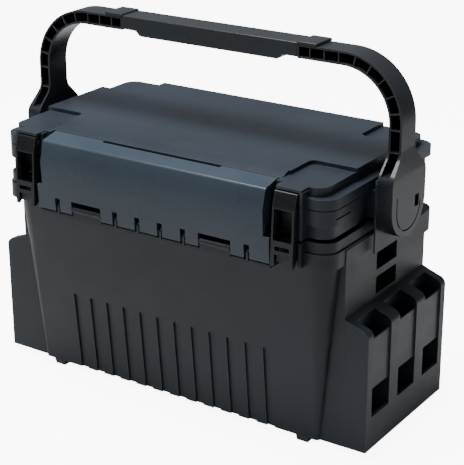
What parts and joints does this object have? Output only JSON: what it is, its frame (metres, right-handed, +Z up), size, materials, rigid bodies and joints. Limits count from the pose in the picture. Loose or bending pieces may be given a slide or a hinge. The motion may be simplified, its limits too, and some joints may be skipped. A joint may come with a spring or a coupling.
{
  "type": "fishing seat box",
  "caption": "Moulded fishing tackle box that doubles as a seat, with a hinged lid, drop-front flap, latches, folding carry handle, end pockets and an inner tray.",
  "frame": {"origin": "centre of the footprint on the ground", "axes": "+X along the length to the right end, +Y from the front flap to the rear hinge, +Z up"},
  "size_m": [0.434, 0.233, 0.3724],
  "materials": {
    "case_plastic": "fine grained, satin",
    "lid_plastic": "fine grained, satin",
    "flap_plastic": "semi gloss",
    "latch_plastic": "semi gloss",
    "handle_plastic": "satin gloss",
    "tray_plastic": "satin",
    "divider_plastic": "smooth",
    "foot_rubber": "matte",
    "pin_steel": "drawn wire"
  },
  "bodies": {
    "case": {"body_case": "case_plastic", "case_rim": "case_plastic", "right_end_pockets": "case_plastic", "left_end_pockets": "case_plastic", "front_feet": "foot_rubber", "rear_feet": "foot_rubber", "flap_hinge_pin": "latch_plastic", "rear_hinge_pins": "pin_steel"},
    "lid": {"lid": "lid_plastic", "right_handle_bracket": "lid_plastic", "left_handle_bracket": "lid_plastic", "bracket_screws": "pin_steel", "right_pivot_pin": "pin_steel", "left_pivot_pin": "pin_steel", "right_latch_pin": "pin_steel", "left_latch_pin": "pin_steel"},
    "flap": {"front_flap": "flap_plastic"},
    "right_latch": {"right_latch": "latch_plastic"},
    "left_latch": {"left_latch": "latch_plastic"},
    "handle": {"right_handle_arm": "handle_plastic", "left_handle_arm": "handle_plastic", "handle_grip": "handle_plastic", "right_grip_clip": "handle_plastic", "left_grip_clip": "handle_plastic"},
    "tray": {"inner_tray": "tray_plastic", "tray_dividers": "divider_plastic"}
  },
  "joints": [
    {"name": "lid_hinge", "type": "hinge", "parent": "case", "child": "lid", "pos_m": [0, 0.111, 0.1945], "axis": [-1, 0, 0], "range_deg": [0, 100]},
    {"name": "front_flap_hinge", "type": "hinge", "parent": "case", "child": "flap", "pos_m": [0, -0.1095, 0.1984], "axis": [1, 0, 0], "range_deg": [0, 135]},
    {"name": "right_latch_pivot", "type": "hinge", "parent": "lid", "child": "right_latch", "pos_m": [0.1495, -0.1056, 0.2583], "axis": [-1, 0, 0], "range_deg": [0, 90]},
    {"name": "left_latch_pivot", "type": "hinge", "parent": "lid", "child": "left_latch", "pos_m": [-0.1495, -0.1056, 0.2583], "axis": [-1, 0, 0], "range_deg": [0, 90]},
    {"name": "handle_fold", "type": "hinge", "parent": "lid", "child": "handle", "pos_m": [0, 0, 0.234], "axis": [1, 0, 0], "range_deg": [-90, 90]},
    {"name": "tray_lift", "type": "slide", "parent": "case", "child": "tray", "axis": [0, 0, 1], "range_m": [0, 0.045]}
  ]
}
